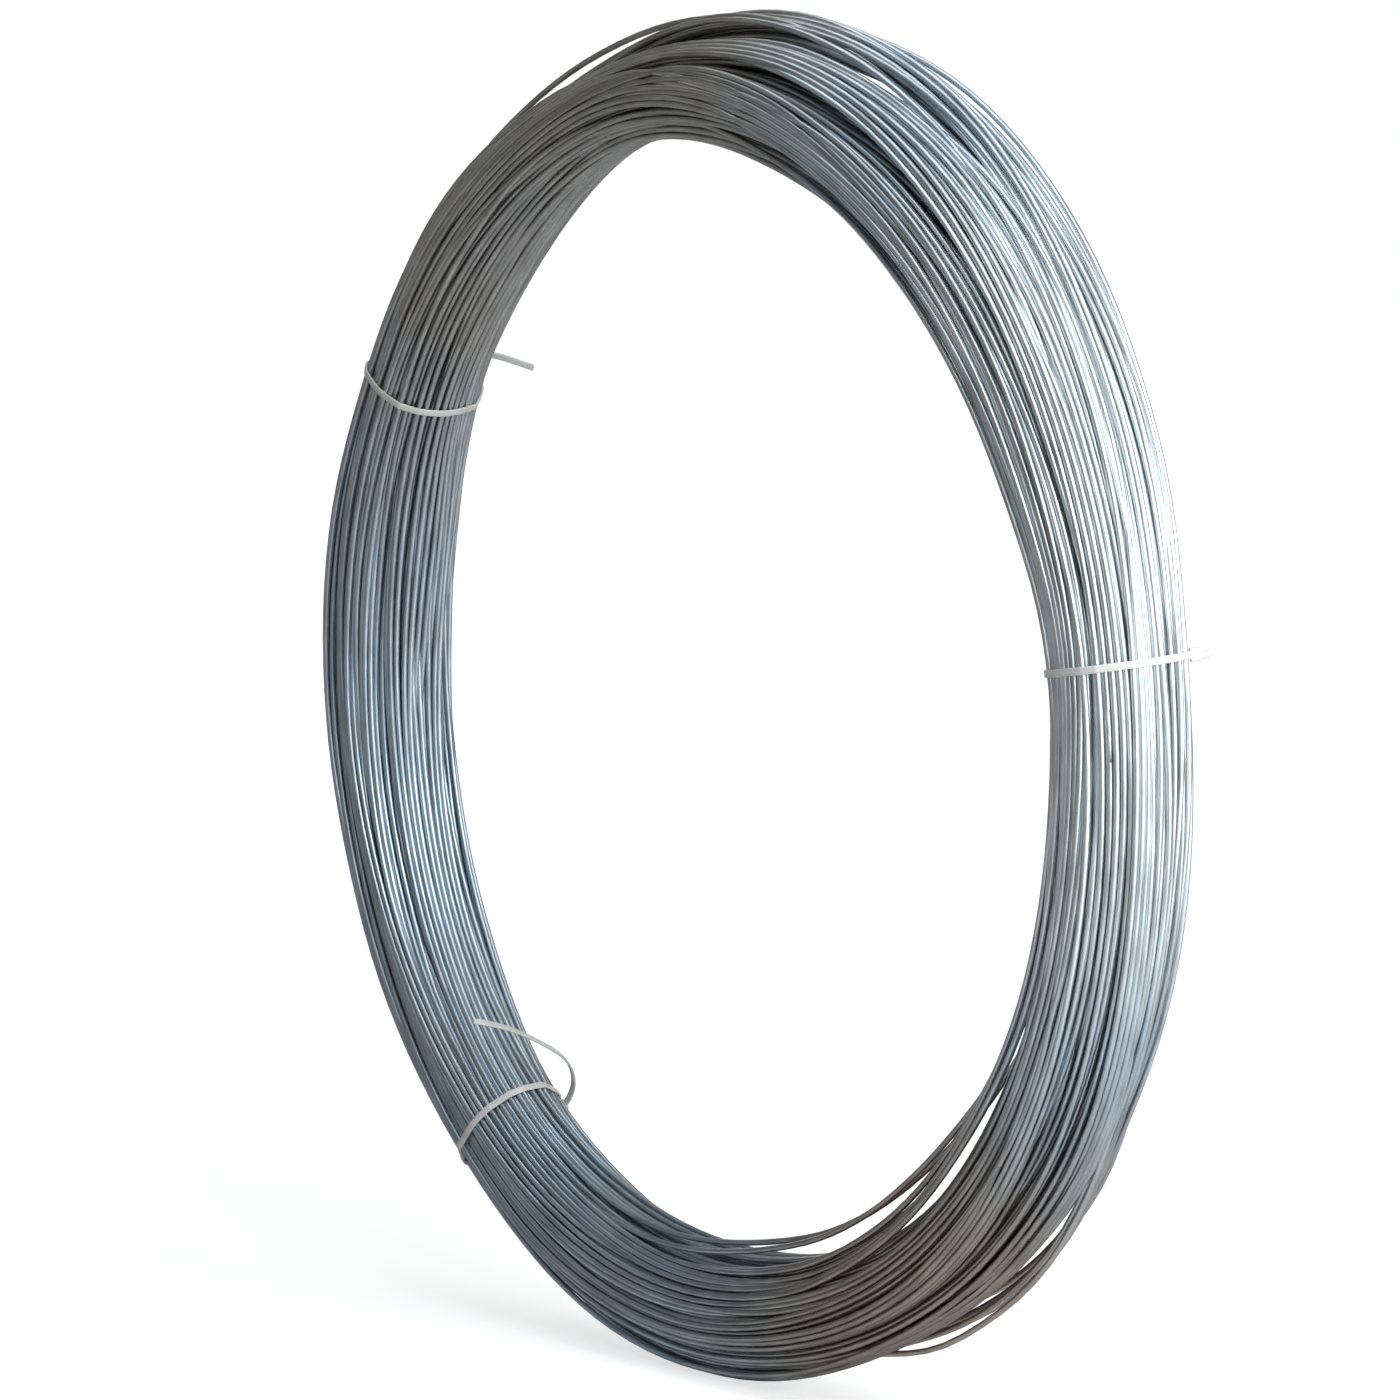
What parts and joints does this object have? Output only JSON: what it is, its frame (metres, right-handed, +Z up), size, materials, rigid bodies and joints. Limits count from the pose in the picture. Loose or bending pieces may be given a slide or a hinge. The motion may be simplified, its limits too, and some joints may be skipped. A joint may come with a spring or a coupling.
{
  "type": "coil of galvanised steel wire",
  "caption": "Round coil of bare galvanised steel wire, wound into an open ring and held by narrow nylon cable ties with free tails.",
  "frame": {"origin": "centre of the coil, on its winding axis, half way between its two ends", "axes": "+Z up with the coil standing on its rim, +Y along the winding axis from the front end to the back end, +X to the right seen from the front"},
  "size_m": [0.6599, 0.1282, 0.66],
  "materials": {
    "galvanised_wire": "drawn steel with a dull zinc coat",
    "nylon": "natural white moulded nylon"
  },
  "bodies": {
    "root": {"wire_coil": "galvanised_wire", "cable_tie_upper_left": "nylon", "cable_tie_right": "nylon", "cable_tie_lower_left": "nylon"}
  },
  "joints": []
}
